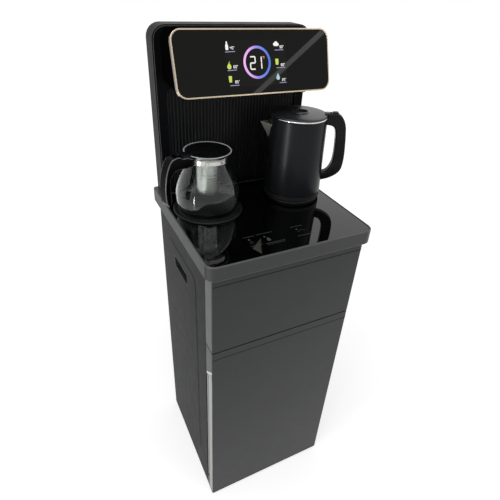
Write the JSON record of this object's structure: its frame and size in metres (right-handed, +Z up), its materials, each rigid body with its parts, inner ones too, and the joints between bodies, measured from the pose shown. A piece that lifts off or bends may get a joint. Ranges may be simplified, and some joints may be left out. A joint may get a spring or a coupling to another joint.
{
  "type": "bottom load water cooler",
  "caption": "Bottom load tea-bar water cooler: cabinet with bottle door, glass worktop with warming plate, tall tower with tilted touch display, kettle and glass jug.",
  "frame": {"origin": "on the floor, below the middle of the worktop", "axes": "-Y is the front with the door, +X the right of a person facing it, +Z up"},
  "size_m": [0.3864, 0.328, 1.0656],
  "materials": {
    "black_plastic": "fine grain, satin",
    "rubber": "matte",
    "side_paint": "satin charcoal powder coat",
    "front_panel": "satin charcoal",
    "grip_strip": "pale grey, satin",
    "steel": "brushed",
    "white_plastic": "satin",
    "tray_metal": "satin charcoal, brighter inner edge",
    "black_glass": "polished toughened glass, printed black from below",
    "plate_black": "satin black with a printed ring",
    "grey_plastic": "satin",
    "tower_black": "satin",
    "ribbed_black": "semi-gloss, upright ribs",
    "rose_gold": "polished rose gold plating",
    "display_glass": "polished glass with a lit display behind it",
    "circuit": "green lacquer with components",
    "aluminium": "extruded",
    "silicone": "translucent milky",
    "switch_red": "translucent red",
    "switch_green": "translucent green",
    "liner_grey": "vacuum-formed, fine grain",
    "kettle_black": "matte black coating",
    "chrome": "polished",
    "handle_black": "semi-gloss",
    "lid_black": "satin",
    "clear_glass": "clear borosilicate"
  },
  "bodies": {
    "cabinet": {"base_tray": "black_plastic", "foot_front_left": "rubber", "foot_front_right": "rubber", "foot_rear_left": "rubber", "foot_rear_right": "rubber", "side_panel_left": "side_paint", "side_panel_right": "side_paint", "handle_cup_left": "black_plastic", "handle_cup_right": "black_plastic", "rear_panel": "side_paint", "bay_shelf": "side_paint", "front_fascia": "front_panel", "hinge_pin_top": "steel", "hinge_pin_bottom": "steel", "catch_magnet": "white_plastic", "worktop_tray": "tray_metal", "worktop_glass": "black_glass", "warming_plate": "plate_black", "power_base": "black_plastic", "power_connector": "grey_plastic", "tower_shell": "tower_black", "tower_back_cover": "tower_black", "ribbed_panel": "ribbed_black", "head_housing": "tower_black", "head_trim": "rose_gold", "head_glass": "display_glass", "display_board": "circuit", "kettle_nozzle": "black_plastic", "lift_pump": "white_plastic", "control_board": "circuit", "cold_tank": "white_plastic", "heat_sink": "aluminium", "fan_frame": "black_plastic", "supply_hose": "silicone", "hose_bracket": "grey_plastic", "bottle_cap": "white_plastic", "suction_pipe": "steel", "switch_bezel": "black_plastic", "cord_gland": "rubber"},
    "door": {"door_panel": "front_panel", "door_grip_strip": "grip_strip", "door_liner": "liner_grey", "door_top_trim": "front_panel"},
    "kettle": {"kettle_body": "kettle_black", "kettle_base": "black_plastic", "kettle_rim": "chrome", "kettle_spout": "steel", "kettle_handle": "handle_black"},
    "kettle_lid": {"kettle_lid": "lid_black"},
    "lid_button": {"lid_button": "handle_black"},
    "jug": {"jug_glass": "clear_glass", "jug_band": "steel", "jug_handle": "handle_black"},
    "infuser": {"jug_lid": "lid_black", "infuser": "steel"},
    "heat_switch": {"heat_switch": "switch_red"},
    "cold_switch": {"cold_switch": "switch_green"},
    "fan_rotor": {"fan_rotor": "black_plastic"}
  },
  "joints": [
    {"name": "door_hinge", "type": "hinge", "parent": "cabinet", "child": "door", "pos_m": [0.151, -0.1295, 0.27], "axis": [0, 0, 1], "range_deg": [0, 95]},
    {"name": "kettle_lift", "type": "slide", "parent": "cabinet", "child": "kettle", "axis": [0, -0.9135, 0.4067], "range_m": [0, 0.3]},
    {"name": "kettle_lid_hinge", "type": "hinge", "parent": "kettle", "child": "kettle_lid", "pos_m": [0.15318, 0.00699, 0.9207], "axis": [0.454, 0.891, 0], "range_deg": [0, 20]},
    {"name": "lid_button_press", "type": "slide", "parent": "kettle", "child": "lid_button", "axis": [0, 0, -1], "range_m": [0, 0.002], "stiffness_N_per_m": 400},
    {"name": "jug_lift", "type": "slide", "parent": "cabinet", "child": "jug", "axis": [0, -0.9135, 0.4067], "range_m": [0, 0.3]},
    {"name": "infuser_lift", "type": "slide", "parent": "jug", "child": "infuser", "axis": [0, 0, 1], "range_m": [0, 0.09]},
    {"name": "heat_switch_rock", "type": "hinge", "parent": "cabinet", "child": "heat_switch", "pos_m": [0.099, 0.1579, 0.69], "axis": [-1, 0, 0], "range_deg": [0, 16]},
    {"name": "cold_switch_rock", "type": "hinge", "parent": "cabinet", "child": "cold_switch", "pos_m": [0.081, 0.1579, 0.69], "axis": [-1, 0, 0], "range_deg": [0, 16]},
    {"name": "fan_spin", "type": "hinge", "parent": "cabinet", "child": "fan_rotor", "pos_m": [-0.07, 0.142, 0.602], "axis": [0, 1, 0], "continuous": true}
  ]
}
